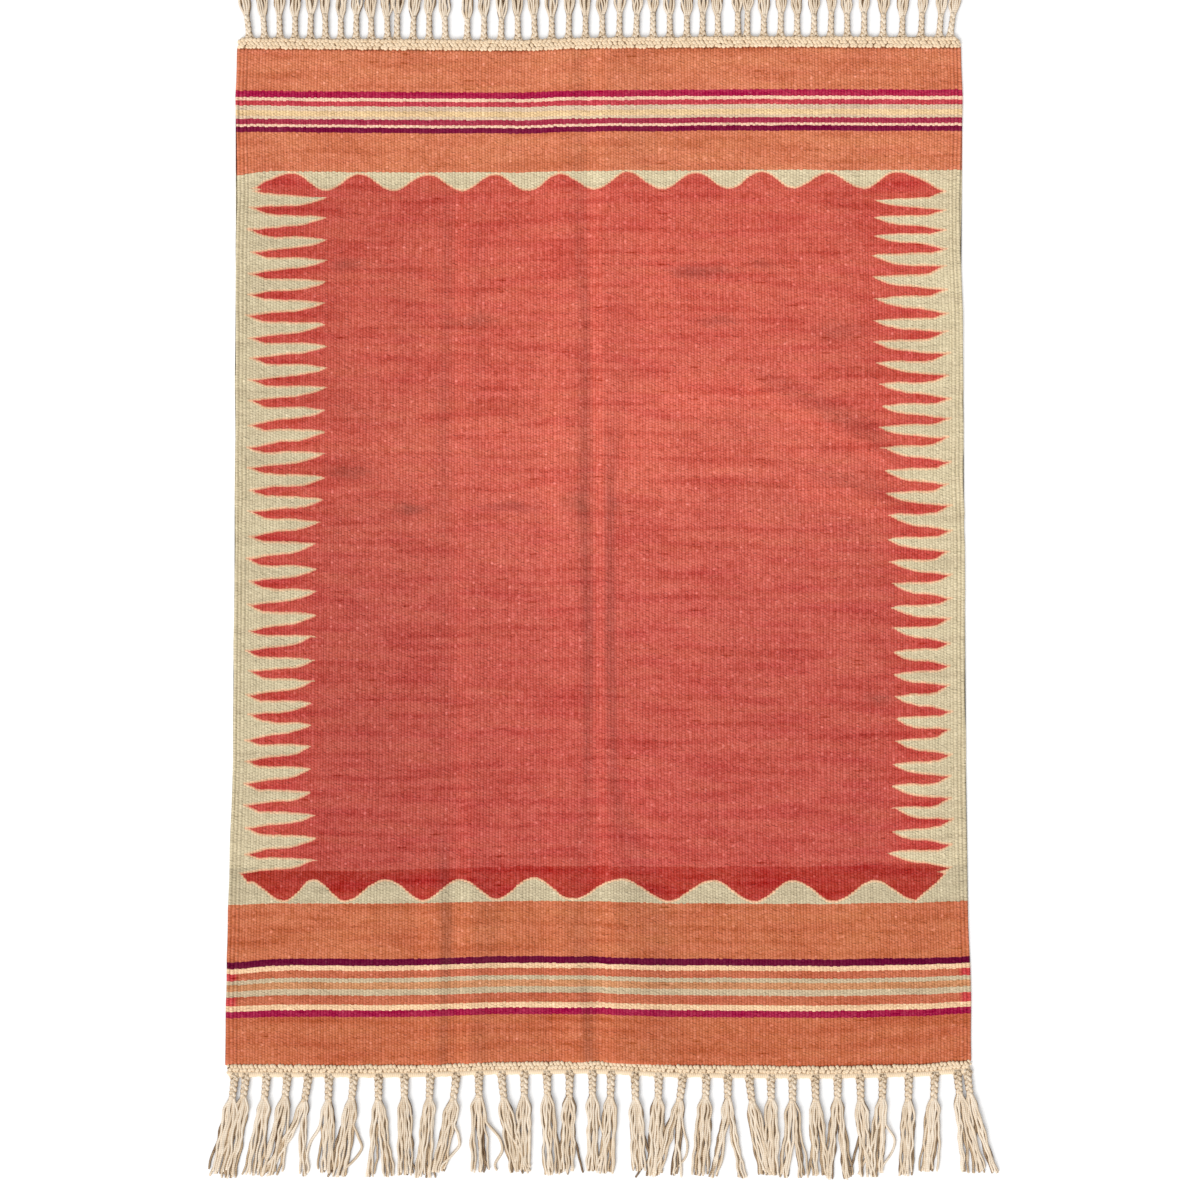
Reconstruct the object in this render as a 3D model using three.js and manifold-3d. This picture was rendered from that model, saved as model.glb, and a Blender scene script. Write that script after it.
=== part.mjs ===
// A small flat-woven kilim rug lying on a floor, in millimetres: +Z up, +Y along the warps to the far end.
// The web is a thin slab with corded selvedges and pressed creases. At each end the warps are worked into a
// flat plait, then into short braided necks that open into tassels of loose locks resting on the floor.
import * as THREE from "three";
import { mergeVertices } from "three/addons/utils/BufferGeometryUtils.js";
import Module from "manifold-3d";

// Driving dimensions
const WEB_THICKNESS = 3;
const PIECE_GAP = 0.3;
const FRINGE_REACH = 125; // from the plait's outer edge to the tips
const PLAIT_HEIGHT = 6;
const PLAIT_STITCH = 6.3;
const PLAIT_CROWN = { inner: 0.3, outer: 0.7 }; // where the crown turns, as shares of the plait's width
const PLAIT_END = { length: 9, share: 0.3 }; // over which, and to what, the plait rounds off at its ends
const NECK_HEIGHT = 6.5;
const HEAD_LENGTH = 9; // over which a braided neck opens to the full width of its tassel
const HEAD_HEIGHT = 5.5;
const NECK_FLAT = 0.72; // a neck's flat top, as a share of its width
const LOCK_HEIGHT = 4.6;
const LOCK_ROOT = 3; // how far a lock runs back into its head
const ROOT_LIFT = 0.2; // the buried root of a neck or lock clears the floor by this much
const LEAN_BEND = 1.3;

// How much the tassels differ, each as a share of its own size.
const UNEVEN_NECK = 0.12;
const UNEVEN_REACH = 0.03;
const UNEVEN_TIP = 0.04;
const UNEVEN_SIDE = 0.2;

// A lock from its root to its tip: how thick it is there, and how far it has opened away from its neighbours.
const LOCK_RINGS = [
  { along: 0, thickness: 0.62, opening: 0.8, foot: ROOT_LIFT },
  { along: 0.45, thickness: 1, opening: 1.08, foot: 0 },
  { along: 1, thickness: 0.55, opening: 1.2, foot: 0 },
];

// How far the web reaches to either side of its middle line, from the near end to the far end.
const WEB_SECTIONS = [
  { y: -621, left: 459, right: 458 },
  { y: -545, left: 459, right: 458 },
  { y: -434, left: 456.5, right: 454 },
  { y: -360, left: 454, right: 451.5 },
  { y: -250, left: 450.5, right: 450.5 },
  { y: -110, left: 449.5, right: 449.5 },
  { y: 9, left: 448, right: 450.5 },
  { y: 100, left: 447.5, right: 448 },
  { y: 290, left: 447, right: 448 },
  { y: 378, left: 447, right: 444.5 },
  { y: 452, left: 444.5, right: 444.5 },
  { y: 563, left: 447, right: 447 },
  { y: 624, left: 445, right: 445 },
];

// The last weft at each end, which wavers across the width.
const NEAR_EDGE = [
  { x: -459, y: -622.3 },
  { x: -300, y: -623.5 },
  { x: -215, y: -623 },
  { x: -140, y: -620 },
  { x: 0, y: -618.6 },
  { x: 90, y: -623.3 },
  { x: 280, y: -624.8 },
  { x: 395, y: -622.3 },
  { x: 458, y: -617 },
];
const FAR_EDGE = [
  { x: -445, y: 625 },
  { x: -290, y: 623.6 },
  { x: -95, y: 622.3 },
  { x: -30, y: 624.8 },
  { x: 110, y: 626.2 },
  { x: 200, y: 627 },
  { x: 445, y: 626 },
];

// Soft ridges pressed into the lying web: two beside the fold line down its middle, two beside a shorter
// fold in the near third, and a slack wave across the far right of the field.
const CREASES = [
  { fromX: -31, fromY: -617, toX: -30, toY: 620, bow: 1.5, height: 1.8, halfWidth: 20 },
  { fromX: 8, fromY: -617, toX: 9, toY: 620, bow: 1.5, height: 2, halfWidth: 16 },
  { fromX: -203, fromY: -617, toX: -200, toY: -360, bow: 0, height: 1.4, halfWidth: 14 },
  { fromX: -174, fromY: -617, toX: -174, toY: -360, bow: 0, height: 1.4, halfWidth: 13 },
  { fromX: 190, fromY: 162, toX: 352, toY: 90, bow: 12, height: 2, halfWidth: 22 },
];
const CREASE_STEPS = 8;
const CREASE_SINK = 0.6; // how deep a ridge is rooted in the slab
const CREASE_END = 0.25; // a ridge's height at its ends, as a share of its full height
const CREASE_SHOULDER = { side: 0.45, rise: 0.7 };

const SELVEDGE_CORDS = 3; // at each side
const SELVEDGE_PITCH = 4.6;
const SELVEDGE_RISE = 0.9;
const SELVEDGE_FLANK = 0.3; // the height of a cord's flanks
const SELVEDGE_HALF = 0.46 * SELVEDGE_PITCH;
const SELVEDGE_STOP = 5; // a cord ends this far short of the last weft

// Where some of the tassels are rooted. Those between two of them are spread evenly.
const NEAR_ROOTS = [
  { tassel: 0, x: -448 },
  { tassel: 1, x: -434.5 },
  { tassel: 5, x: -332 },
  { tassel: 7, x: -271 },
  { tassel: 10, x: -175.5 },
  { tassel: 16, x: -8 },
  { tassel: 17, x: 15 },
  { tassel: 21, x: 132 },
  { tassel: 25, x: 238 },
  { tassel: 29, x: 349 },
  { tassel: 31, x: 413 },
  { tassel: 32, x: 441 },
  { tassel: 33, x: 453 },
];
const FAR_ROOTS = [
  { tassel: 0, x: -430 },
  { tassel: 8, x: -280 },
  { tassel: 9, x: -260 },
  { tassel: 10, x: -248.5 },
  { tassel: 13, x: -189 },
  { tassel: 14, x: -162 },
  { tassel: 27, x: 108 },
  { tassel: 29, x: 146.5 },
  { tassel: 30, x: 171 },
  { tassel: 31, x: 182 },
  { tassel: 38, x: 326 },
  { tassel: 41, x: 396 },
  { tassel: 42, x: 418.5 },
  { tassel: 43, x: 432 },
];

const NEAR_FRINGE = {
  name: "fringe_near",
  end: -1,
  edge: NEAR_EDGE,
  plaitWidth: 16,
  tassels: 34,
  roots: NEAR_ROOTS,
  leans: [
    -22, -23, -18, -23, -31, -5, -20, 0, 1, -10, -25, 0, 20, 0, 6, -4, 0, -6, 5, -4, -26, -7, 0, 22, 2, 0, 7,
    0, 6, -7, -4, -9, 20, 24,
  ],
  neckLength: 27.5,
  neckWidth: 10,
  locks: 4,
  lockWidth: 3.9,
  lockPitch: 4.6,
};
const FAR_FRINGE = {
  name: "fringe_far",
  end: 1,
  edge: FAR_EDGE,
  plaitWidth: 14,
  tassels: 44,
  roots: FAR_ROOTS,
  leans: [
    -22, -12, -4, 2, 5, -3, 0, 4, -2, -5, 3, 6, 0, -4, 2, 0, 5, -3, -6, 0, 4, 1, -2, 3, 6, -1, -4, 0, 2, -5, -3,
    4, 0, 3, -2, 1, 5, -4, 0, 2, 4, 8, 13, 24,
  ],
  neckLength: 28,
  neckWidth: 8,
  locks: 3,
  lockWidth: 3.7,
  lockPitch: 4.4,
};

const DYED_WOOL = { color: 0xc95c4d, roughness: 0.95, metalness: 0 };
const UNDYED_WOOL = { color: 0xead6b2, roughness: 0.92, metalness: 0 };

const wasm = await Module();
wasm.setup();

// Straight-line reading of a table's column at a place between two of its rows.
function readTable(rows, key, column, at) {
  const last = rows.length - 1;
  const next = rows.findIndex((row) => row[key] >= at);
  if (next === 0) return rows[0][column];
  if (next < 0) return rows[last][column];
  const [a, b] = [rows[next - 1], rows[next]];
  return THREE.MathUtils.mapLinear(at, a[key], b[key], a[column], b[column]);
}

// A repeatable unevenness between -1 and 1, different for each place and each kind.
function uneven(place, kind) {
  return 0.6 * Math.sin(2.4 * place + 1.7 * kind) + 0.4 * Math.sin(5.3 * place + 3.1 * kind);
}

// A closed body through a run of sections, whose points turn anticlockwise about the way it runs.
function loft(sections) {
  const around = sections[0].length;
  const last = (sections.length - 1) * around;
  const faces = [];
  for (let start = 0; start < last; start += around) {
    for (let p = 0; p < around; p++) {
      const a = start + p;
      const b = start + ((p + 1) % around);
      faces.push(a, b, a + around, b, b + around, a + around);
    }
  }
  for (let p = 1; p + 1 < around; p++) {
    faces.push(0, p + 1, p, last, last + p, last + p + 1);
  }
  return new THREE.BufferGeometry().setFromPoints(sections.flat()).setIndex(faces);
}

// A body along a run of stations, each with a profile of [sideways, up] pairs from left foot to right.
function layAlong(stations) {
  const sections = stations.map(({ x, y, profile }, i) => {
    const before = stations[Math.max(i - 1, 0)];
    const after = stations[Math.min(i + 1, stations.length - 1)];
    const heading = new THREE.Vector2(after.x - before.x, after.y - before.y).normalize();
    return profile.map(
      ([side, up]) => new THREE.Vector3(x - heading.y * side, y + heading.x * side, up),
    );
  });
  return loft(sections);
}

function solidOf(geometry) {
  const bare = geometry.clone();
  bare.deleteAttribute("normal");
  bare.deleteAttribute("uv");
  const merged = mergeVertices(bare);
  return new wasm.Manifold(
    new wasm.Mesh({
      numProp: 3,
      vertProperties: merged.attributes.position.array,
      triVerts: new Uint32Array(merged.index.array),
    }),
  );
}

// One named mesh from several bodies joined where they meet.
function fused(name, geometries, finish) {
  const whole = geometries.map(solidOf).reduce((sum, part) => sum.add(part));
  const made = whole.getMesh();
  const geometry = new THREE.BufferGeometry();
  geometry.setAttribute("position", new THREE.BufferAttribute(made.vertProperties, made.numProp));
  geometry.setIndex(new THREE.BufferAttribute(made.triVerts, 1));
  geometry.computeVertexNormals();
  const mesh = new THREE.Mesh(geometry, new THREE.MeshStandardMaterial(finish));
  mesh.name = name;
  return mesh;
}

// The web's slab: its wavering outline, extruded from the floor up.
function webSlab() {
  const rightSide = WEB_SECTIONS.slice(1, -1).map(({ y, right }) => new THREE.Vector2(right, y));
  const leftSide = WEB_SECTIONS.slice(1, -1).map(({ y, left }) => new THREE.Vector2(-left, y));
  const near = NEAR_EDGE.map(({ x, y }) => new THREE.Vector2(x, y));
  const far = FAR_EDGE.map(({ x, y }) => new THREE.Vector2(x, y));
  const outline = new THREE.Shape();
  outline.setFromPoints(near);
  outline.splineThru([...rightSide, far.at(-1)]);
  far.reverse().slice(1).forEach(({ x, y }) => outline.lineTo(x, y));
  outline.splineThru([...leftSide.reverse(), near[0]]);
  return new THREE.ExtrudeGeometry(outline, {
    depth: WEB_THICKNESS,
    bevelEnabled: false,
    curveSegments: 2,
  });
}

// One cord of a selvedge, a bundle of warps wrapped by the wefts, that many pitches in from the side.
function selvedgeCord(side, count) {
  const inset = (count + 0.5) * SELVEDGE_PITCH;
  const reach = side < 0 ? "left" : "right";
  const profile = [
    [SELVEDGE_HALF, WEB_THICKNESS - CREASE_SINK],
    [SELVEDGE_HALF, WEB_THICKNESS + SELVEDGE_FLANK],
    [0, WEB_THICKNESS + SELVEDGE_RISE],
    [-SELVEDGE_HALF, WEB_THICKNESS + SELVEDGE_FLANK],
    [-SELVEDGE_HALF, WEB_THICKNESS - CREASE_SINK],
  ];
  const [near, far] = [WEB_SECTIONS[0].y + SELVEDGE_STOP, WEB_SECTIONS.at(-1).y - SELVEDGE_STOP];
  const stations = WEB_SECTIONS.map((row) => ({
    x: side * (row[reach] - inset),
    y: THREE.MathUtils.clamp(row.y, near, far),
    profile,
  }));
  return layAlong(stations);
}

// One pressed ridge of the web, lowest at both ends, with its feet sunk into the slab.
function crease({ fromX, fromY, toX, toY, bow, height, halfWidth }) {
  const stations = [];
  for (let i = 0; i <= CREASE_STEPS; i++) {
    const t = i / CREASE_STEPS;
    const swell = Math.sin(Math.PI * t);
    const rise = height * THREE.MathUtils.lerp(CREASE_END, 1, Math.sqrt(swell));
    const shoulder = CREASE_SHOULDER.side * halfWidth;
    stations.push({
      x: THREE.MathUtils.lerp(fromX, toX, t) + bow * swell,
      y: THREE.MathUtils.lerp(fromY, toY, t) + bow * swell,
      profile: [
        [halfWidth, WEB_THICKNESS - CREASE_SINK],
        [shoulder, WEB_THICKNESS + CREASE_SHOULDER.rise * rise],
        [0, WEB_THICKNESS + rise],
        [-shoulder, WEB_THICKNESS + CREASE_SHOULDER.rise * rise],
        [-halfWidth, WEB_THICKNESS - CREASE_SINK],
      ],
    });
  }
  return layAlong(stations);
}

// The flat plait of warp ends along the cloth's edge, its crown crossing from side to side at each stitch.
function plait({ end, edge, plaitWidth }) {
  const fromX = edge[0].x;
  const toX = edge.at(-1).x;
  const steps = 2 * Math.round((toX - fromX) / PLAIT_STITCH);
  const sections = [];
  for (let i = 0; i <= steps; i++) {
    const x = THREE.MathUtils.mapLinear(i, 0, steps, fromX, toX);
    const toEnd = Math.min(x - fromX, toX - x);
    const round = Math.sqrt(Math.min(1, PLAIT_END.share + toEnd / PLAIT_END.length));
    const width = plaitWidth * round;
    const crown = i % 2 === 0 ? PLAIT_CROWN.inner : PLAIT_CROWN.outer;
    const inner = readTable(edge, "x", "y", x) + end * PIECE_GAP;
    const section = [
      new THREE.Vector3(x, inner, 0),
      new THREE.Vector3(x, inner + end * crown * width, PLAIT_HEIGHT * round),
      new THREE.Vector3(x, inner + end * width, 0),
    ];
    sections.push(end < 0 ? section : section.reverse());
  }
  return loft(sections);
}

// One tassel: a braided neck rooted in the plait, the head it opens into, and the locks that lie beyond it.
function tassel(fringe, index) {
  const { end, edge, plaitWidth, roots, leans } = fringe;
  const { neckLength, neckWidth, locks, lockWidth, lockPitch } = fringe;
  const rootX = readTable(roots, "tassel", "x", index);
  const plaitY = readTable(edge, "x", "y", rootX) + end * (PIECE_GAP + plaitWidth);
  const lean = leans[index]; // how far its tips lie to one side of its root
  const neckEnd = neckLength * (1 + UNEVEN_NECK * uneven(index, 2));
  const headEnd = neckEnd + HEAD_LENGTH;
  const headWidth = (locks - 1) * lockPitch + lockWidth;
  const reach = FRINGE_REACH * (1 - UNEVEN_REACH * (1 - uneven(index, 3)));

  // A place on the tassel: that far out from the plait along its leaning middle line, and to one side.
  const placeAt = (out, side) => ({
    x: rootX + lean * (Math.max(out, 0) / FRINGE_REACH) ** LEAN_BEND + side,
    y: plaitY + end * out,
  });

  // The neck swings a little from side to side, as its three strands cross.
  const swing = 0.08 * neckWidth;
  const rings = [
    { out: -0.3 * plaitWidth, width: 1.1 * neckWidth, height: 0.4 * PLAIT_HEIGHT, foot: ROOT_LIFT, side: 0 },
    { out: 0.3 * neckEnd, width: neckWidth, height: NECK_HEIGHT, foot: 0, side: swing },
    { out: 0.7 * neckEnd, width: neckWidth, height: NECK_HEIGHT, foot: 0, side: -swing },
    { out: headEnd, width: headWidth, height: HEAD_HEIGHT, foot: 0, side: 0 },
  ];
  const neck = rings.map(({ out, width, height, foot, side }) => ({
    ...placeAt(out, side),
    profile: [
      [0.5 * width, foot],
      [0.5 * NECK_FLAT * width, height],
      [-0.5 * NECK_FLAT * width, height],
      [-0.5 * width, foot],
    ],
  }));

  const bodies = [layAlong(neck)];
  for (let lock = 0; lock < locks; lock++) {
    const lockIndex = index * locks + lock;
    const side = (lock - 0.5 * (locks - 1)) * lockPitch;
    const tip = reach * (1 - UNEVEN_TIP * (1 - uneven(lockIndex, 4)));
    const sway = UNEVEN_SIDE * lockWidth * uneven(lockIndex, 5);
    const path = LOCK_RINGS.map(({ along, thickness, opening, foot }) => ({
      ...placeAt(THREE.MathUtils.lerp(headEnd - LOCK_ROOT, tip, along), side * opening + sway * along),
      profile: [
        [0.5 * lockWidth * thickness, foot],
        [0, LOCK_HEIGHT * thickness],
        [-0.5 * lockWidth * thickness, foot],
      ],
    }));
    bodies.push(layAlong(path));
  }
  return bodies;
}

function web() {
  const bodies = [webSlab(), ...CREASES.map(crease)];
  for (let count = 0; count < SELVEDGE_CORDS; count++) {
    bodies.push(selvedgeCord(-1, count), selvedgeCord(1, count));
  }
  return fused("kilim_web", bodies, DYED_WOOL);
}

function fringeOf(fringe) {
  const bodies = [plait(fringe)];
  for (let index = 0; index < fringe.tassels; index++) {
    bodies.push(...tassel(fringe, index));
  }
  return fused(fringe.name, bodies, UNDYED_WOOL);
}

const rug = new THREE.Group();
rug.name = "kilim_rug";
rug.add(web(), fringeOf(NEAR_FRINGE), fringeOf(FAR_FRINGE));

export default rug;
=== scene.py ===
import math

import bpy
import numpy as np
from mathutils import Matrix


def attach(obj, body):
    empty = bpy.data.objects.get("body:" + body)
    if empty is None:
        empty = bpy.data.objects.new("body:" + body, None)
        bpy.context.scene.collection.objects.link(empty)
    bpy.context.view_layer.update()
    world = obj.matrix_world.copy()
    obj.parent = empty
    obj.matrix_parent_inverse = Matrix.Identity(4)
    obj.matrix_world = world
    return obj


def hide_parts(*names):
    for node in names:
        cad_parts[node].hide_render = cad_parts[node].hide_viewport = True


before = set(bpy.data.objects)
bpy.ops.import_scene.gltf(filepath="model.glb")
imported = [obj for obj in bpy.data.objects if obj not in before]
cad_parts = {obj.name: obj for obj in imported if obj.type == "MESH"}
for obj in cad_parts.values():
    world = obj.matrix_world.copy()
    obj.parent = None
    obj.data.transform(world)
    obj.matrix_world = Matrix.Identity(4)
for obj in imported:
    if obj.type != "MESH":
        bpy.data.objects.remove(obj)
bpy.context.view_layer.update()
MM = 0.001


# The camera hangs straight above the rug and looks down on it, as for a stock picture of a rug on a floor.
# Its square picture is a little wider than the rug and shorter than it, so the far tips run out of view.
PICTURE_WIDTH = 1.477
CAMERA_HEIGHT = 3.0
PICTURE_MIDDLE = (0.0012, -0.0523)


def new_object(name, data):
    """A new object in the scene."""
    thing = bpy.data.objects.new(name, data)
    bpy.context.collection.objects.link(thing)
    return thing


lens = bpy.data.cameras.new("overhead_camera")
lens.sensor_width = 36
lens.lens = lens.sensor_width * CAMERA_HEIGHT / PICTURE_WIDTH
camera = new_object("overhead_camera", lens)
camera.location = (*PICTURE_MIDDLE, CAMERA_HEIGHT)
bpy.context.scene.camera = camera


# The floor is a plain sheet of white studio board, and the light is a bright room with one large soft lamp
# to the near left, low enough to pick out the ribs and to lay soft shade past the far end.
FLOOR_SIZE = 40.0
FLOOR_DROP = 0.0004
FLOOR_WHITE = "#f7f7f7"
BOARD_GLOW = 0.16  # it is lit from beneath a little, which keeps shadows pale
ROOM_LIGHT = 0.57
LAMP_STRENGTH = 2.6
LAMP_SPREAD = math.radians(40)
LAMP_HEIGHT = math.radians(38)
LAMP_SIDE = math.radians(-36)


def linear(code):
    """A colour written as sRGB hex, as the linear red, green, blue and alpha that a shader takes."""
    parts = [int(code[i : i + 2], 16) / 255 for i in (1, 3, 5)]
    return [c / 12.92 if c <= 0.04045 else ((c + 0.055) / 1.055) ** 2.4 for c in parts] + [1.0]


def new_material(name, finish):
    """A Principled material with these values on its shader."""
    material = bpy.data.materials.new(name)
    material.use_nodes = True
    for socket, value in finish.items():
        material.node_tree.nodes["Principled BSDF"].inputs[socket].default_value = value
    return material


studio_board = new_material("white_studio_board", {
    "Base Color": linear(FLOOR_WHITE), "Roughness": 0.9, "Specular IOR Level": 0.0,
    "Emission Color": (1.0, 1.0, 1.0, 1.0), "Emission Strength": BOARD_GLOW,
})
half_floor = FLOOR_SIZE / 2
floor_signs = ((-1, -1), (1, -1), (1, 1), (-1, 1))
floor_corners = [(x * half_floor, y * half_floor, -FLOOR_DROP) for x, y in floor_signs]
floor_mesh = bpy.data.meshes.new("floor")
floor_mesh.from_pydata(floor_corners, [], [(0, 1, 2, 3)])
floor_mesh.materials.append(studio_board)
floor = new_object("floor", floor_mesh)

room = bpy.data.worlds.new("bright_room")
room.use_nodes = True
room.node_tree.nodes["Background"].inputs["Color"].default_value = (1.0, 1.0, 1.0, 1.0)
room.node_tree.nodes["Background"].inputs["Strength"].default_value = ROOM_LIGHT
bpy.context.scene.world = room
bpy.context.scene.view_settings.view_transform = "Standard"

lamp_light = bpy.data.lights.new("soft_lamp", "SUN")
lamp_light.energy = LAMP_STRENGTH
lamp_light.angle = LAMP_SPREAD
lamp = new_object("soft_lamp", lamp_light)
lamp.rotation_euler = (math.pi / 2 - LAMP_HEIGHT, 0.0, LAMP_SIDE)


# The web is the rug's one woven panel: wool wefts beaten down so hard over the warps that only they show,
# in ribs as wide as a warp. Each side is corded, three thick warps bound by the turning wefts. It lies flat
# but for the folds it was stored in. It is woven from the near end, and its wefts waver as a hand lays them.
WEB_THICKNESS = 3.0
WEB_SECTIONS = np.array([  # along the rug, then how far it reaches to the left and right of its middle line
    (-621, 459, 458), (-545, 459, 458), (-434, 456.5, 454), (-360, 454, 451.5), (-250, 450.5, 450.5),
    (-110, 449.5, 449.5), (9, 448, 450.5), (100, 447.5, 448), (290, 447, 448), (378, 447, 444.5),
    (452, 444.5, 444.5), (563, 447, 447), (624, 445, 445),
])
NEAR_EDGE = np.array([  # the last weft at each end, which wavers
    (-459, -622.3), (-300, -623.5), (-215, -623), (-140, -620), (0, -618.6), (90, -623.3), (280, -624.8),
    (395, -622.3), (458, -617),
])
FAR_EDGE = np.array([
    (-445, 625), (-290, 623.6), (-95, 622.3), (-30, 624.8), (110, 626.2), (200, 627), (445, 626),
])
NEAR_END, FAR_END = -622.1, 624.1
END_TUCK = 1.6  # the web runs on this far beneath the beads of the plaits
END_TUCK_DROP = 0.5
TUCK = 0.0018  # the share of its length over which it dips there
WARPS = 236
WARP_PITCH = 3.7
CORDS = 3
CORD_PITCH = 4.6
HALF_WIDTH = CORDS * CORD_PITCH + WARPS * WARP_PITCH / 2
RIB_DEPTH = 0.6
WARP_SPREAD, RIB_SPREAD = 0.1, (0.75, 1.2)  # how much the warps and their ribs differ, as shares
CORD_DEPTH = 1.7
CORD_RISE = 0.8
SIDE_TOP, SIDE_FOOT = 0.62, 0.3  # where the outermost cord turns under, in shares of the thickness
RIB_COLUMNS = 4
WEB_ROWS = 66
WAVE_ROWS = 18  # more rows where the slack waves cross the field
UNDERSIDE_STEP = 10  # the underside has one row to so many of the upper face's
FOLDS = [  # along each ridge: x, y, its height, how far its left and right (or near and far) flanks run
    [(-21, -640, 1.9, 40, 18), (-24, -560, 1.9, 40, 18), (-46, -430, 1.2, 36, 36), (-22, -280, 1.0, 46, 14),
     (-22, -100, 1.8, 46, 17), (-28, 60, 2.2, 48, 20), (-26, 300, 1.5, 46, 18), (-34, 400, 1.0, 48, 20),
     (-36, 640, 0.8, 48, 20)],
    [(22, -640, 2.6, 24, 90), (20, -450, 3.4, 25, 90), (9, -280, 1.4, 14, 18), (6, -100, 1.6, 12, 16),
     (6, 90, 1.5, 12, 16), (5, 220, 1.5, 15, 44), (4, 400, 1.4, 17, 60), (12, 640, 1.5, 24, 90)],
    [(-200, -640, 1.2, 30, 14), (-198, -540, 1.3, 30, 16), (-196, -440, 2.6, 30, 18),
     (-200, -330, 0.1, 30, 14), (-198, -40, 0.1, 30, 14), (-200, 150, 0.6, 30, 16), (-192, 380, 0.5, 30, 14),
     (-190, 480, 0.0, 30, 14)],
    [(-160, -640, 1.5, 18, 26), (-157, -540, 1.5, 20, 30), (-155, -440, 2.4, 24, 44),
     (-158, -330, 0.6, 20, 30), (-160, -100, 0.5, 18, 30), (-162, 150, 0.4, 18, 30),
     (-160, 380, 0.7, 18, 30), (-160, 480, 0.0, 20, 30)],
    [(180, 216, 0.0, 22, 40), (200, 205, 1.0, 22, 36), (270, 172, 1.6, 22, 36), (334, 138, 1.3, 22, 36),
     (372, 118, 0.0, 22, 40)],
    [(225, 108, 0.0, 34, 20), (260, 95, 1.0, 32, 20), (310, 82, 1.3, 32, 20), (350, 70, 0.9, 32, 20),
     (380, 60, 0.0, 34, 20)],
]
PULLS = [  # where the web was pulled towards the near end: x, y, how far across and along, how much
    (-455, 475, 30, 35, 7.0), (-458, -490, 45, 80, 5.6), (455, -490, 50, 80, 2.2), (0, -490, 60, 90, 1.4),
]
EDGE_FROM = 0.985
WARP_STRAY, EDGE_STRAY, WEFT_STRAY = 1.4, 0.5, 14.0  # how much hand work strays, before it is averaged
SLACK, BEAT_STRAY = 6.0, 0.9
FULL_SLOPE_SHADE = 0.17  # the slope down to the right or the far end, away from the lamp, that gets the most painted shade; slopes the other way get painted light
chance = np.random.default_rng(7)


def spread(*shape):
    """Chance amounts about nought, none of them far out."""
    return chance.standard_normal(shape).clip(-2, 2)


def stray(along, across):
    """A chance amount for each point of the web, averaged over so many of its neighbours."""
    values = chance.standard_normal((len(rows), len(warp)))
    for axis, count in enumerate((along, across)):
        kernel = np.hanning(count + 2)[1:-1]
        values = np.apply_along_axis(np.convolve, axis, values, kernel / kernel.sum(), mode="same")
    return values


def number_points(mesh, name, values):
    """Gives each point of a mesh a number, which a material finds by its name."""
    numbers = mesh.attributes.new(name, "FLOAT", "POINT")
    numbers.data.foreach_set("value", values.astype(np.float32).ravel())


def fold_height(x, y):
    """How far the folds lift the web at a place, in mm."""
    height = np.zeros_like(x)
    for ridge in FOLDS:
        line = np.array(ridge)
        lies_across = line[-1, 0] - line[0, 0] > 100
        place, away = (x, y) if lies_across else (y, x)
        stops, middles = (line[:, 0], line[:, 1]) if lies_across else (line[:, 1], line[:, 0])
        rise, low_flank, high_flank = (np.interp(place, stops, line[:, i]) for i in (2, 3, 4))
        away = away - np.interp(place, stops, middles)
        away = np.clip(np.abs(away) / np.where(away < 0, low_flank, high_flank), 0, 1)
        height += rise * np.cos(0.5 * np.pi * away) ** 2
    return height


widths = np.full(WARPS + 2 * CORDS, WARP_PITCH)
widths[CORDS:-CORDS] *= 1 + WARP_SPREAD * spread(WARPS)
widths[:CORDS] = widths[-CORDS:] = CORD_PITCH
ribs = len(widths)
starts = np.concatenate([[0], np.cumsum(widths)])
starts = (starts / starts[-1] * 2 - 1) * HALF_WIDTH
warp = np.arange(ribs * RIB_COLUMNS + 1) / RIB_COLUMNS
loom_x = np.interp(warp, np.arange(ribs + 1), starts)
depths = RIB_DEPTH * chance.uniform(*RIB_SPREAD, ribs)
depths[:CORDS] = depths[-CORDS:] = CORD_DEPTH
crests = np.zeros(ribs)
crests[:CORDS] = crests[-CORDS:] = CORD_RISE
rib = np.minimum(warp.astype(int), ribs - 1)
bare_height = crests[rib] - depths[rib] * (1 - np.sin(np.pi * (warp - rib)))
between = np.arange(1, ribs)
bare_height[between * RIB_COLUMNS] = np.minimum(
    crests[between] - depths[between], crests[between - 1] - depths[between - 1]
).clip(-RIB_DEPTH * RIB_SPREAD[1], None)

wave_low, wave_high = (np.array([40, 235]) - NEAR_END) / (FAR_END - NEAR_END)
wave_rows = np.linspace(wave_low, wave_high, WAVE_ROWS)
rows = np.unique(np.concatenate([np.linspace(0, 1, WEB_ROWS), wave_rows, [TUCK, 1 - TUCK]]))
loom_y = NEAR_END + rows * (FAR_END - NEAR_END)
share_x = loom_x / HALF_WIDTH
left_reach = np.interp(loom_y, WEB_SECTIONS[:, 0], WEB_SECTIONS[:, 1])
right_reach = np.interp(loom_y, WEB_SECTIONS[:, 0], WEB_SECTIONS[:, 2])
reach = np.where(share_x < 0, left_reach[:, None], right_reach[:, None])
web_x = share_x * reach + WARP_STRAY * stray(9, 9)
web_x += EDGE_STRAY * stray(3, 1) * (np.abs(share_x) > EDGE_FROM)
near_y = np.interp(web_x, *NEAR_EDGE.T)
far_y = np.interp(web_x, *FAR_EDGE.T)
web_y = near_y + rows[:, None] * (far_y - near_y)
web_y += WEFT_STRAY * stray(15, 161) * np.sin(np.pi * rows)[:, None]
for pull_x, pull_y, reach_x, reach_y, pull in PULLS:
    web_y -= pull * np.exp(-(((web_x - pull_x) / reach_x) ** 2) - ((web_y - pull_y) / reach_y) ** 2)
web_y[0] -= END_TUCK
web_y[-1] += END_TUCK
lift = fold_height(web_x, web_y)
lift += (SLACK * stray(11, 121)).clip(-0.2, 0.6)
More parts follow.
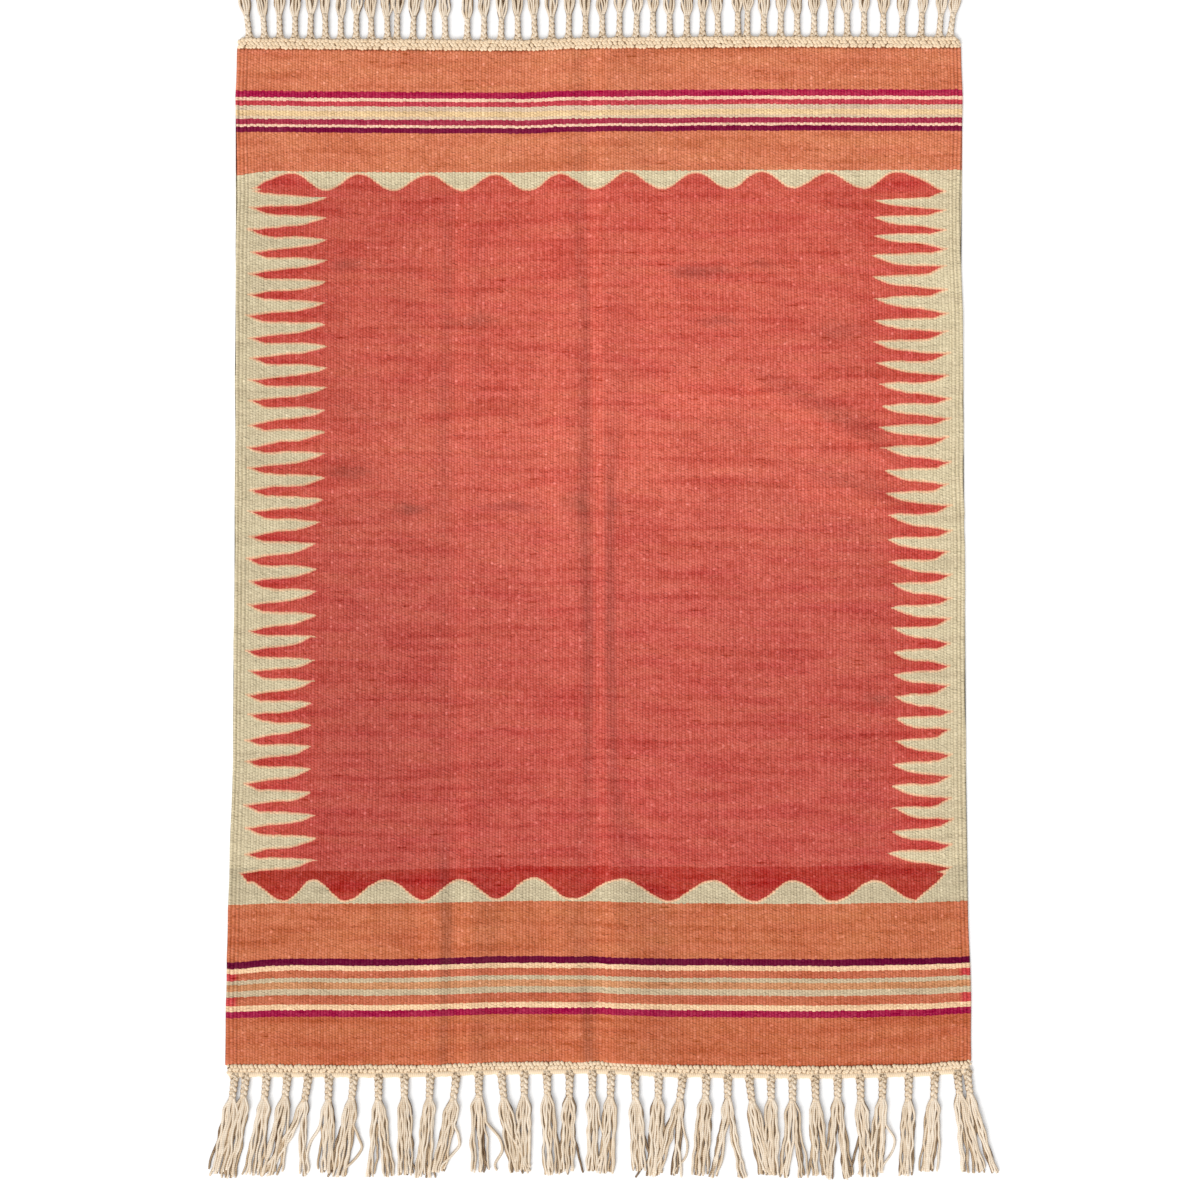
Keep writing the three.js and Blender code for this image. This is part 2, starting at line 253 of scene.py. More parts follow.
beaten = 1 + BEAT_STRAY * stray(3, 5)
web_top = WEB_THICKNESS + lift + bare_height * beaten
web_top[[0, -1]] -= END_TUCK_DROP
web_top[:, [0, -1]] = SIDE_TOP * WEB_THICKNESS
under_rows = np.unique(np.append(np.arange(0, len(rows), UNDERSIDE_STEP), len(rows) - 1))
web_under = 0.85 * lift[under_rows].clip(0, None) - 0.7 * bare_height.clip(-1, 0)
web_under[:, [0, -1]] = SIDE_FOOT * WEB_THICKNESS

columns = len(warp)
upper = np.arange(len(rows) * columns).reshape(len(rows), columns)
lower = upper.size + np.arange(len(under_rows) * columns).reshape(len(under_rows), columns)
web_points = np.concatenate([
    np.stack([web_x, web_y, web_top], -1).reshape(-1, 3),
    np.stack([web_x[under_rows], web_y[under_rows], web_under], -1).reshape(-1, 3),
])
upper_faces = np.stack([upper[:-1, :-1], upper[:-1, 1:], upper[1:, 1:], upper[1:, :-1]], -1).reshape(-1, 4)
lower_faces = np.stack([lower[:-1, :-1], lower[1:, :-1], lower[1:, 1:], lower[:-1, 1:]], -1).reshape(-1, 4)
near_wall = np.stack([lower[0, :-1], lower[0, 1:], upper[0, 1:], upper[0, :-1]], -1)
far_wall = np.stack([lower[-1, 1:], lower[-1, :-1], upper[-1, :-1], upper[-1, 1:]], -1)
web_faces = np.concatenate([upper_faces, lower_faces, near_wall, far_wall]).tolist()
for low in range(len(under_rows) - 1):
    span = np.arange(under_rows[low], under_rows[low + 1] + 1)
    web_faces.append([lower[low, 0], *upper[span, 0], lower[low + 1, 0]][::-1])
    web_faces.append([lower[low, -1], *upper[span, -1], lower[low + 1, -1]])

web_mesh = bpy.data.meshes.new("web")
web_mesh.from_pydata(web_points * MM, [], web_faces)
web_mesh.shade_smooth()
all_rows = np.concatenate([np.arange(len(rows)), under_rows])
loom_places = np.stack(np.broadcast_arrays(loom_x[None, :], loom_y[all_rows, None]), -1).reshape(-1, 2) * MM
loop_points = np.empty(len(web_mesh.loops), np.int32)
web_mesh.loops.foreach_get("vertex_index", loop_points)
loom_map = web_mesh.uv_layers.new(name="loom")
loom_map.uv.foreach_set("vector", loom_places[loop_points].astype(np.float32).ravel())
number_points(web_mesh, "warp", np.tile(warp, len(all_rows)))
# Painted shade on the fold slopes that face away from the lamp, and painted light on those that face it.
slope = np.gradient(lift, axis=1) / np.gradient(web_x, axis=1)
slope += np.gradient(lift, axis=0) / np.gradient(web_y, axis=0)
number_points(web_mesh, "fold_slope_shade", np.clip(-slope / FULL_SLOPE_SHADE, -0.3, 1)[all_rows])
web = new_object("web", web_mesh)

# Weft-faced wool: dull, hairy yarn in vegetable colours that fade unevenly from batch to batch, so the eye
# sees ribs, grooves between them darkened with painted shade, faint bands along the weft, and here and there
# a slub.
ORANGE_END, ORANGE_NEAR, ORANGE_FAR = "#c46b49", "#c7704d", "#d47b58"
CREAM, CREAM_FAR, SAGE, GROUND_SAGE = "#f1c9a0", "#f6caac", "#cab494", "#d9c9a6"
ORANGE_RED, END_RED, OCHRE = "#c46b4d", "#cc4a4a", "#cb8c62"
NEAR_STRIPES = [  # from the near end to the ground of the field: each stripe's colour, and its width in mm
    (ORANGE_END, 58.2), ("#a32045", 7.8), (CREAM, 7.0), (ORANGE_RED, 11.7), (SAGE, 7.5), (OCHRE, 8.2),
    (SAGE, 5.9), (ORANGE_RED, 9.1), (CREAM, 5.5), ("#6a1033", 8.9), (ORANGE_NEAR, 67.5), ("#cabb9b", 43.5),
    (GROUND_SAGE, 855.9),
]
FAR_STRIPES = [  # and from the ground to the far end
    (GROUND_SAGE, 899.4), (ORANGE_FAR, 48.1), ("#7d173b", 6.4), (CREAM_FAR, 3.4), ("#a8344a", 6.4),
    ("#dec1a3", 3.5), ("#ebc898", 6.9), ("#ddc0a4", 5.7), ("#c5454f", 6.2), (CREAM_FAR, 4.3),
    ("#b1274a", 7.6), (ORANGE_FAR, 51.0),
]
SELVEDGE_FROM, SELVEDGE_TO = 435.0, 441.0  # beyond which the orange-red stripes are of another red
STRIPE_SPANS = [  # each order of stripes, where it starts, and the part of it, in mm, that has fine stripes
    (NEAR_STRIPES, NEAR_END, 50, 245), (FAR_STRIPES, NEAR_END + 197.3, 891, 1005),
]
FIELD_REDS = [  # the field's red along the rug, from the near end's scallops to the far end's
    (-430, "#c4574b"), (-300, "#c5584c"), (-180, "#c5594c"), (-60, "#c95c4f"), (60, "#cf6252"),
    (140, "#d46654"), (240, "#d16151"), (340, "#d26251"), (480, "#cc5a4b"),
]
FINGER_RED, DEEP_RED, OUTLINE = "#cb4d43", "#b33d33", "#f2c49c"
FIRST_TIP = 454.9  # the line of the uppermost finger's tip
FINGERS = 32  # at each side, the ends of the scalloped bands among them
FINGER_RISE, FINGER_DROP = 16.9, 10.2  # how far a finger's two edges part from the line of its tip
BORDERS = [
    {
        "direction": -1, "spacing": 27.1, "tip_inset": 14.5, "forked": 0, "notch_line": -1.3,
        # along the rug, how deep the sage runs in
        "sage_depths": [(-620, 104), (-385, 104), (-200, 93), (0, 97), (100, 109), (625, 109)],
        # and how far the fingers stand ahead of even spacing, as the weaver's beat changed
        "drift": [(-620, -4), (-350, -3.5), (-225, 1), (-80, -1.5), (15, 5), (200, 8), (330, 3), (450, -1.5),
                  (625, -1.5)],
    },
    {
        "direction": 1, "spacing": 26.85, "tip_inset": 19.0, "forked": 31, "notch_line": -6.4,
        "sage_depths": [(-620, 97), (-385, 96), (-200, 84), (70, 97), (250, 109), (625, 109)],
        "drift": [(-620, -3), (-330, -3), (-150, 1), (-20, 4), (60, 8.5), (160, 10.5), (250, 6), (385, 5.5),
                  (445, -8), (625, -8)],
    },
]
MOST_DRIFT = 12.0
DEPTH_LUCK, TIP_LUCK = 2.5, 3.0  # how much a sage wedge's depth, and a finger's tip, stray to either side
NOTCH_DEPTH, NOTCH_SLANT = 12.0, 0.35
FAR_AWAY = 1000.0
FIRST_SLANT, LAST_SLANT = 0.4, 0.75  # how fast the red of each scalloped band widens from its tips
FIRST_DROP = 3.0  # how much lower the uppermost wedge ends
DEEPEST = 120.0
WEDGE_CLOSE = 40.0  # how fast the red closes past a wedge's point
UPPER_EDGE = [(0, 0), (0.12, 0.09), (0.25, 0.22), (0.4, 0.32), (0.65, 0.43), (0.8, 0.6), (0.9, 0.77), (1, 1)]
LOWER_EDGE = [(0, 0), (0.1, 0.38), (0.22, 0.75), (0.4, 0.8), (0.65, 0.78), (0.8, 0.83), (0.9, 0.91), (1, 1)]
FAR_SCALLOP = {
    "first": -381.6, "spacing": 83.4, "middle": 462.6, "half_height": 10.0, "count": 10, "end_lobes": 0.62,
}
NEAR_SCALLOP = {
    "first": -386.5, "spacing": 96.5, "middle": -409.5, "half_height": 12.5, "count": 9, "end_lobes": 1.0,
}
NEAR_DRIFT = [  # across the rug, and how far the near scallops run ahead of even spacing, plus a half
    (0, 0.5), (0.07, 0.5), (0.16, 0.67), (0.26, 0.7), (0.36, 0.81), (0.46, 0.85), (0.59, 0.65), (0.71, 0.54),
    (0.93, 0.5), (1, 0.5),
]
SCALLOP_STRAY, STRAY_WIDTH = 0.05, 110
DEEP_FROM, DEEP_TO, DEEP_SLANT = -380.4, -381.6, 0.01
FRESH_FROM, FRESH_TO, FRESH_SHARE = 0.5, 1.3, 0.8  # along a finger, where its fresher red fades
RED_EDGE = 0.4  # mm to either side of an edge over which two colours blend
OUTLINE_FROM, OUTLINE_TO, OUTLINE_SHARE = 0.7, 1.9, 0.8  # mm from the edge at which the outline fades
WEFT_PITCH = 3.4  # three real wefts, drawn as one so that it shows
HAND_WANDER, WANDER_LENGTH = 2.2, 38.0  # how far a weft wanders to either side, and over what length
BEAD_SHIFT = 0.35  # how far a bead lies out of line
FINGER_STEP = 0.5  # how much of a step an edge makes from one warp to the next
STRIPE_WANDER, STRIPE_TOOTH = 0.35, 0.4  # the share of that wander, and a tooth's mm, at a stripe's edge
PANEL_LIGHT_AND_SHADE = [  # across the rug, how light the field is: painted light and shade on the three panels it was kept folded in
    (-460, 0.91), (-370, 0.905), (-330, 0.875), (-282, 0.9), (-188, 0.91), (-172, 0.96), (-150, 0.985),
    (-60, 1.0), (-40, 0.98), (0, 1.03), (50, 1.04), (110, 1.01), (250, 0.985), (330, 0.96), (390, 0.975),
    (460, 0.975),
]
PANEL_MIDDLE, PANEL_IN, PANEL_OUT = 30.0, 420.0, 450.0  # where along the rug the panels fade out
MOST_PANEL_LIGHT = 1.1
# The brown that smudges of soil, and the painted shade on the fold slopes, veil the wool in.
SOIL_AND_SHADE_BROWN = "#573630"
UNEVENNESS = [  # size across and along in mm (for streaks, warps across), detail, and share of the colour
    ("bands", (260, 7), 2.0, 0.46), ("patches", (90, 14), 3.0, 0.56), ("streaks", (1, 30), 1.0, 0.3),
    ("grain", (2.4, 2.4), 1.0, 0.36),
]
MOST_LIGHT = 0.04  # bands and patches seldom lighten the wool
# The tone of single beads; painted shade in the grooves between the ribs, with painted light on their
# crests; painted shade in the dips between the wefts' bumps.
BEAD_TONE, GROOVE_SHADE, WEFT_DIP_SHADE = 0.26, 0.13, 0.025
FLECKS = [  # slubs, then dashes: size in mm, how rare, where they start and cease to fade, how light
    ((11, 11), 0.9, 0.09, 0.19, 0.45), ((40, 5.5), 0.975, 0.1, 0.22, -0.4),
]
PALE_FROM, PALE_TO, PALE_CONTRAST = 0.22, 0.5, 0.75
BASE_TONE = 1.016
VALUE_SHARE, DEPTH_SHARE = 0.74, 0.17  # how much of a tone shows as lightness, and as depth of colour
HUE_DRIFT = 0.007
# How strong the painted shade and light on the fold slopes are, then how strong the smudges of soil are and
# how they fade.
FOLD_SLOPE_SHADE, SMUDGE_SOIL, SMUDGE_FADE = 0.2, 1.35, 1.2
RAGGED_BY, RAGGED_OVER = (40.0, 16.0), 40  # how far the edges of smudges stray, across and along; over what
LUMP_SIZE, LUMP_FROM, LUMP_TO, LUMP_RISE = (7, 4), 0.57, 0.82, 0.65
WEFT_RISE, BEAD_RISE, GRAIN_RISE = 0.14, 0.14, 0.7
SMUDGES = [  # soil, or the lack of it, given one by one: x, y, half its length and height in mm, its strength
    (-313, 360, 26, 9, 0.2), (124, 351, 56, 10, 0.23), (204, 360, 26, 8, 0.17), (-313, 105, 38, 9, 0.17),
    (-233, 61, 24, 11, 0.27), (-110, 61, 46, 9, 0.18), (-28, 64, 20, 22, 0.18), (12, 61, 11, 11, 0.14),
    (146, 290, 40, 9, 0.16), (299, 278, 40, 16, 0.12), (-153, 292, 36, 12, 0.14), (348, -172, 26, 11, 0.18),
    (130, 200, 80, 36, -0.08), (430, -260, 70, 230, 0.07),
]


def node(material, kind, *feeds, into=None, onto=None, stops=None, points=None, **settings):
    """Adds a node. Its kind may be followed by an operation, and a kind in capitals is one of Math.

    Feeds go to its inputs in order, into by name: an output is linked, a value is set. Onto names the
    input of the material's shader that it feeds.
    """
    tree = material.node_tree
    kind, _, operation = ("Math " + kind if kind.isupper() else kind).partition(" ")
    added = tree.nodes.new("ShaderNode" + kind)
    if operation:
        added.operation = operation
    for name, value in settings.items():
        setattr(added, name, value)
    targets = list(zip(added.inputs, feeds)) + [(added.inputs[k], v) for k, v in (into or {}).items()]
    for target, feed in targets:
        if isinstance(feed, bpy.types.Node):
            tree.links.new(feed.outputs[0], target)
        elif isinstance(feed, bpy.types.NodeSocket):
            tree.links.new(feed, target)
        elif feed is not None:
            target.default_value = feed
    if onto:
        tree.links.new(added.outputs[0], tree.nodes["Principled BSDF"].inputs[onto])
    if stops:
        for position, code in stops[1:-1]:
            added.color_ramp.elements.new(position)
        for element, (position, code) in zip(added.color_ramp.elements, stops):
            element.position = position
            element.color = linear(code)
    if points:
        curve = added.mapping.curves[0]
        for place in points[1:-1]:
            curve.points.new(*place)
        curve.points[0].location = points[0]
        curve.points[-1].location = points[-1]
        for point in curve.points:
            point.handle_type = "VECTOR"
        added.mapping.update()
    return added


wool = new_material("weft_faced_wool", {"Roughness": 0.92, "Specular IOR Level": 0.05, "Sheen Weight": 0.02})
loom = node(wool, "UVMap", uv_map="loom")
loom_mm = node(wool, "VectorMath SCALE", loom, None, None, 1 / MM)
loom_parts = node(wool, "SeparateXYZ", loom_mm)
across, along = loom_parts.outputs["X"], loom_parts.outputs["Y"]
warp_place = node(wool, "Attribute", attribute_name="warp").outputs["Fac"]
warp_number = node(wool, "FLOOR", warp_place)
odd_warp = node(wool, "MODULO", warp_number, 2.0)

# A hand-laid weft wanders a little, and shows as a bead on every other warp.
wander_noise = node(wool, "TexNoise", loom_mm, None, 1 / WANDER_LENGTH, 2.0, noise_dimensions="2D")
hand_wander = node(wool, "MULTIPLY_ADD", wander_noise, 2 * HAND_WANDER, -HAND_WANDER)
along_hand = node(wool, "ADD", hand_wander, along)
weft_place = node(wool, "MULTIPLY", along_hand, 1 / WEFT_PITCH)
weft_place = node(wool, "MULTIPLY_ADD", odd_warp, 0.5, weft_place)
weft_number = node(wool, "FLOOR", weft_place)
bead_place = node(wool, "CombineXYZ", warp_number, weft_number, 0.0)
bead_luck = node(wool, "TexWhiteNoise", bead_place, noise_dimensions="2D")
bead_shift = node(wool, "MULTIPLY_ADD", bead_luck, 2 * BEAD_SHIFT, -BEAD_SHIFT)
rib_middle = node(wool, "MULTIPLY_ADD", warp_number, WARP_PITCH, 0.5 * WARP_PITCH - HALF_WIDTH)
step_back = node(wool, "SUBTRACT", rib_middle, across)
step_back = node(wool, "Clamp", step_back, -1.5 * WARP_PITCH, 1.5 * WARP_PITCH)
across_step = node(wool, "MULTIPLY_ADD", step_back, FINGER_STEP, across)

# The stripes, whose edges are finely toothed by the beads.
stripe_place = node(wool, "MULTIPLY_ADD", hand_wander, STRIPE_WANDER, along)
stripe_place = node(wool, "MULTIPLY_ADD", odd_warp, STRIPE_TOOTH, stripe_place)
stripe_place = node(wool, "ADD", stripe_place, bead_shift)
ramps = []
for order, origin, low, high in [*STRIPE_SPANS, STRIPE_SPANS[0]]:
    stripe_share = node(wool, "MapRange", stripe_place, origin + low, origin + high)
    stripe_starts = np.cumsum([0.0] + [width for _, width in order[:-1]])
    shares = np.clip((stripe_starts - low) / (high - low), 0, 1)
    codes = [END_RED if code == ORANGE_RED and len(ramps) == 2 else code for code, _ in order]
    ramps.append(node(wool, "ValToRGB", stripe_share, stops=list(zip(shares, codes))))
    ramps[-1].color_ramp.interpolation = "CONSTANT"
off_middle = node(wool, "ABSOLUTE", across)
at_selvedge = node(wool, "MapRange", off_middle, SELVEDGE_FROM, SELVEDGE_TO)
near_stripes = node(wool, "MixRGB", at_selvedge, ramps[0], ramps[2])
far_half = node(wool, "GREATER_THAN", along, 0.0)
stripes = node(wool, "MixRGB", far_half, near_stripes, ramps[1])


# Each side border: fingers of red that taper to a point towards the selvedge, with sage wedges between them.
def loom_share(y):
    """How far along the web a place is, as a share of its length."""
    return min(max((y - NEAR_END) / (FAR_END - NEAR_END), 0.0), 1.0)


inside = []
finger_places = []
along_share = node(wool, "MapRange", along, NEAR_END, FAR_END)
for border in BORDERS:
    direction, spacing = border["direction"], border["spacing"]
    drift_points = [(loom_share(y), 0.5 + 0.5 * ahead / MOST_DRIFT) for y, ahead in border["drift"]]
    drift = node(wool, "FloatCurve", 1.0, along_share, points=drift_points)
    drift = node(wool, "MULTIPLY_ADD", drift, -2 * MOST_DRIFT, MOST_DRIFT - FIRST_TIP)
    along_fingers = node(wool, "ADD", along_hand, drift)
    from_tip = HALF_WIDTH + TIP_LUCK - border["tip_inset"]
    inset = node(wool, "MULTIPLY_ADD", across_step, -direction, from_tip)
    number = node(wool, "MULTIPLY_ADD", along_fingers, -1 / spacing, FINGER_RISE / spacing)
    number = node(wool, "FLOOR", number)
    number = node(wool, "Clamp", number, 0.0, FINGERS - 1)
    luck_seed = node(wool, "ADD", number, 50.0 * direction)
    luck = node(wool, "TexWhiteNoise", None, luck_seed, noise_dimensions="1D")
    luck = node(wool, "SeparateColor", luck.outputs["Color"])
    depth_points = [(loom_share(y), depth / DEEPEST) for y, depth in border["sage_depths"]]
    depth = node(wool, "FloatCurve", 1.0, along_share, points=depth_points)
    depth = node(wool, "MULTIPLY_ADD", depth, DEEPEST, -border["tip_inset"] - DEPTH_LUCK)
    depth = node(wool, "MULTIPLY_ADD", luck.outputs[0], 2 * DEPTH_LUCK, depth)
    inset = node(wool, "MULTIPLY_ADD", luck.outputs[1], -2 * TIP_LUCK, inset)
    along_finger = node(wool, "DIVIDE", inset, depth)
    finger_places.append(along_finger)
    tip_shift = node(wool, "MULTIPLY_ADD", luck.outputs[2], 2 * TIP_LUCK, -TIP_LUCK)
    tip_shift = node(wool, "MapRange", along_finger, 0.0, 0.4, tip_shift, 0.0)
    off_line = node(wool, "MULTIPLY_ADD", number, spacing, along_fingers)
    off_line = node(wool, "ADD", off_line, tip_shift)
    first = node(wool, "LESS_THAN", number, 0.5)
    last = node(wool, "GREATER_THAN", number, FINGERS - 1.5)
    upper_edge = node(wool, "FloatCurve", 1.0, along_finger, points=UPPER_EDGE)
    upper_edge = node(wool, "MULTIPLY", upper_edge, FINGER_RISE)
    slant = node(wool, "MULTIPLY", first, FIRST_SLANT)
    upper_edge = node(wool, "MULTIPLY_ADD", slant, inset, upper_edge)
    lower_edge = node(wool, "FloatCurve", 1.0, along_finger, points=LOWER_EDGE)
    lower_edge = node(wool, "MULTIPLY", lower_edge, FINGER_DROP)
    slant = node(wool, "MULTIPLY", last, LAST_SLANT)
    lower_edge = node(wool, "MULTIPLY_ADD", slant, inset, lower_edge)
    first_drop = node(wool, "MapRange", along_finger, 0.3, 1.0, 0.0, FIRST_DROP)
    lower_edge = node(wool, "MULTIPLY_ADD", first, first_drop, lower_edge)
    below_upper = node(wool, "SUBTRACT", upper_edge, off_line)
    above_lower = node(wool, "ADD", lower_edge, off_line)
    in_finger = node(wool, "MINIMUM", below_upper, above_lower)
    past_wedge = node(wool, "MapRange", along_finger, 1.0, 10.0, 0.0, 9 * WEDGE_CLOSE)
    in_finger = node(wool, "ADD", past_wedge, in_finger)
    in_finger = node(wool, "MINIMUM", in_finger, inset)
    off_notch = node(wool, "SUBTRACT", off_line, border["notch_line"])
    off_notch = node(wool, "ABSOLUTE", off_notch)
    off_notch = node(wool, "MULTIPLY_ADD", inset, NOTCH_SLANT, off_notch)
    plain = node(wool, "COMPARE", number, border["forked"], 0.5)
    plain = node(wool, "MULTIPLY_ADD", plain, -FAR_AWAY, FAR_AWAY - NOTCH_SLANT * NOTCH_DEPTH)
    off_notch = node(wool, "ADD", off_notch, plain)
    inside.append(node(wool, "MINIMUM", in_finger, off_notch))

# The scalloped ends of the field, rounded lobes of red that all but touch the orange.
across_share = node(wool, "MapRange", across_step, -HALF_WIDTH, HALF_WIDTH)
scallop_noise = node(wool, "TexNoise", loom_mm, None, 1 / STRAY_WIDTH, 1.0, noise_dimensions="2D")
scallop_shift = node(wool, "MULTIPLY_ADD", scallop_noise, 2 * SCALLOP_STRAY, -SCALLOP_STRAY)
for scallop, drift_points, upwards in ((FAR_SCALLOP, None, 1), (NEAR_SCALLOP, NEAR_DRIFT, -1)):
    lobe = node(wool, "SUBTRACT", across_step, scallop["first"])
    lobe = node(wool, "MULTIPLY_ADD", lobe, 1 / scallop["spacing"], scallop_shift)
    if drift_points:
        drift = node(wool, "FloatCurve", 1.0, across_share, points=drift_points)
        drift = node(wool, "SUBTRACT", drift, 0.5)
        lobe = node(wool, "ADD", lobe, drift)
    last_lobe = scallop["count"] - 1
    outer_half = node(wool, "MULTIPLY", lobe, scallop["end_lobes"])
    lobe = node(wool, "MAXIMUM", lobe, outer_half)
    start = last_lobe * (1 - scallop["end_lobes"])
    outer_half = node(wool, "MULTIPLY_ADD", lobe, scallop["end_lobes"], start)
    lobe = node(wool, "MINIMUM", lobe, outer_half)
    lobe = node(wool, "Clamp", lobe, -0.4, last_lobe + 0.4)
    wave = node(wool, "MULTIPLY", lobe, 2 * math.pi)
    wave = node(wool, "COSINE", wave)
    edge = node(wool, "MULTIPLY_ADD", wave, scallop["half_height"], upwards * scallop["middle"])
    inside.append(node(wool, "MULTIPLY_ADD", along_hand, -upwards, edge))
in_red = inside[0]
for other in inside[1:]:
    in_red = node(wool, "MINIMUM", in_red, other)
in_red = node(wool, "ADD", in_red, bead_shift)

# The reds: one that fades along the field, a fresher one in the fingers and a deeper batch at the near end.
field_red = node(wool, "ValToRGB", along_share, stops=[(loom_share(y), code) for y, code in FIELD_REDS])
finger_place = node(wool, "MINIMUM", *finger_places)
freshness = node(wool, "MapRange", finger_place, FRESH_FROM, FRESH_TO, FRESH_SHARE, 0.0)
field_red = node(wool, "MixRGB", freshness, field_red, linear(FINGER_RED))
deep_line = node(wool, "MULTIPLY_ADD", across, -DEEP_SLANT, along_hand)
deep_share = node(wool, "MapRange", deep_line, DEEP_FROM, DEEP_TO)
field_red = node(wool, "MixRGB", deep_share, field_red, linear(DEEP_RED))
red_share = node(wool, "MapRange", in_red, -RED_EDGE, RED_EDGE)
dyed = node(wool, "MixRGB", red_share, stripes, field_red)
beside_edge = node(wool, "ABSOLUTE", in_red)
outline_share = node(wool, "MapRange", beside_edge, OUTLINE_FROM, OUTLINE_TO, OUTLINE_SHARE, 0.0)
dyed = node(wool, "MixRGB", outline_share, dyed, linear(OUTLINE))

# Unevenness, as a share of the colour: bands along the weft, worn patches, streaks along single warps,
# grain, beads of darker and lighter wool, painted shade in the grooves between the ribs and in the dips
# between the wefts' bumps, and painted shade and light on the slopes of the folds.
on_warps = node(wool, "CombineXYZ", warp_number, along, 0.0)
layers = {}
tone, middle = 0.0, 0.0
for name, size, detail, share in UNEVENNESS:
    place = on_warps if name == "streaks" else loom_mm
    place = node(wool, "VectorMath DIVIDE", place, (*size, 1.0))
    layers[name] = node(wool, "TexNoise", place, None, 1.0, detail, noise_dimensions="2D")
    tone = node(wool, "MULTIPLY_ADD", layers[name], share, tone)
    middle += 0.5 * share
    if name == "patches":
        tone = node(wool, "MINIMUM", tone, middle + MOST_LIGHT)
tone = node(wool, "MULTIPLY_ADD", bead_luck, BEAD_TONE, tone)
tone = node(wool, "SUBTRACT", tone, middle + 0.5 * BEAD_TONE)
# Painted shade in the grooves between the ribs and painted light on their crests, then a little painted
# shade in the dips between the wefts' bumps.
groove_shade = node(wool, "MULTIPLY", warp_place, 2 * math.pi)
groove_shade = node(wool, "COSINE", groove_shade)
tone = node(wool, "MULTIPLY_ADD", groove_shade, -GROOVE_SHADE, tone)
weft_turn = node(wool, "MULTIPLY", weft_place, 2 * math.pi)
weft = node(wool, "COSINE", weft_turn)
tone = node(wool, "MULTIPLY_ADD", weft, -WEFT_DIP_SHADE, tone)
# Painted shade and light on the slopes of the folds.
slope_shade_place = node(wool, "Attribute", attribute_name="fold_slope_shade").outputs["Fac"]
soil_and_shade = node(wool, "MULTIPLY", slope_shade_place, FOLD_SLOPE_SHADE)

# Smudges with ragged edges, then slubs (thick light tufts) and short dark dashes where a weft was let in.
ragged = node(wool, "TexNoise", loom_mm, None, 1 / RAGGED_OVER, 2.0, noise_dimensions="2D")
ragged = node(wool, "SUBTRACT", ragged, 0.5)
smudge_mm = node(wool, "VectorMath MULTIPLY_ADD", ragged, (*RAGGED_BY, 0.0), loom_mm)
for smudge_x, smudge_y, half_length, half_height, strength in SMUDGES:
    size = (1 / half_length, 1 / half_height, 0.0)
    middle = (-smudge_x / half_length, -smudge_y / half_height, 0.0)
    off_smudge = node(wool, "VectorMath MULTIPLY_ADD", smudge_mm, size, middle)
    off_smudge = node(wool, "VectorMath LENGTH", off_smudge).outputs["Value"]
    darkest = SMUDGE_SOIL * strength
    smudge = node(wool, "MapRange", off_smudge, 0.0, SMUDGE_FADE, darkest, 0.0)
    smudge.interpolation_type = "SMOOTHSTEP"
    soil_and_shade = node(wool, "ADD", smudge, soil_and_shade)
for size, rarity, fade_from, fade_to, strength in FLECKS:
    fleck_place = node(wool, "VectorMath DIVIDE", loom_mm, (*size, 1.0))
    flecks = node(wool, "TexVoronoi", fleck_place, None, 1.0, voronoi_dimensions="2D")
    fleck_luck = node(wool, "SeparateColor", flecks.outputs["Color"])
    fleck_chosen = node(wool, "GREATER_THAN", fleck_luck, rarity)
    fleck = node(wool, "MapRange", flecks.outputs["Distance"], fade_from, fade_to, strength, 0.0)
    tone = node(wool, "MULTIPLY_ADD", fleck, fleck_chosen, tone)

# Pale wool shows its unevenness less. The panels between the folds get painted light and shade, but only in
# the field.
paleness = node(wool, "SeparateColor", dyed)
contrast = node(wool, "MapRange", paleness.outputs["Green"], PALE_FROM, PALE_TO, 1.0, PALE_CONTRAST)
tone = node(wool, "MULTIPLY_ADD", tone, contrast, BASE_TONE)
panel_from, panel_to = PANEL_LIGHT_AND_SHADE[0][0], PANEL_LIGHT_AND_SHADE[-1][0]
panel_points = [((x - panel_from) / (panel_to - panel_from), value / MOST_PANEL_LIGHT) for x, value in PANEL_LIGHT_AND_SHADE]
panel_share = node(wool, "MapRange", across, panel_from, panel_to)
panel = node(wool, "FloatCurve", 1.0, panel_share, points=panel_points)
panel = node(wool, "MULTIPLY_ADD", panel, MOST_PANEL_LIGHT, -1.0)
off_panel = node(wool, "SUBTRACT", along, PANEL_MIDDLE)
off_panel = node(wool, "ABSOLUTE", off_panel)
in_panel = node(wool, "MapRange", off_panel, PANEL_IN, PANEL_OUT, 1.0, 0.0)
panel = node(wool, "MULTIPLY_ADD", panel, in_panel, 1.0)

# Wool pales as its tone, from wear and painted shade, lightens, and its hue drifts a little from patch to
# patch. Smudges of soil and the painted shade on the fold slopes veil it in brown; painted light and the
# lack of soil lift it away from brown.
wear_and_shade_value = node(wool, "MULTIPLY_ADD", tone, VALUE_SHARE, 1 - VALUE_SHARE)
wear_and_shade_depth = node(wool, "MULTIPLY_ADD", tone, -DEPTH_SHARE, 1 + DEPTH_SHARE)
hue_drift = node(wool, "MULTIPLY_ADD", layers["patches"], 2 * HUE_DRIFT, 0.5 - HUE_DRIFT)
wear_and_shade = node(wool, "HueSaturation", hue_drift, wear_and_shade_depth, wear_and_shade_value, 1.0, dyed)
to_soil_and_shade = node(wool, "VectorMath SUBTRACT", linear(SOIL_AND_SHADE_BROWN)[:3], wear_and_shade)
soil_and_shade = node(wool, "MULTIPLY", soil_and_shade, contrast)
wear_and_shade = node(wool, "VectorMath MULTIPLY_ADD", to_soil_and_shade, soil_and_shade, wear_and_shade)
node(wool, "VectorMath SCALE", wear_and_shade, None, None, panel, onto="Base Color")

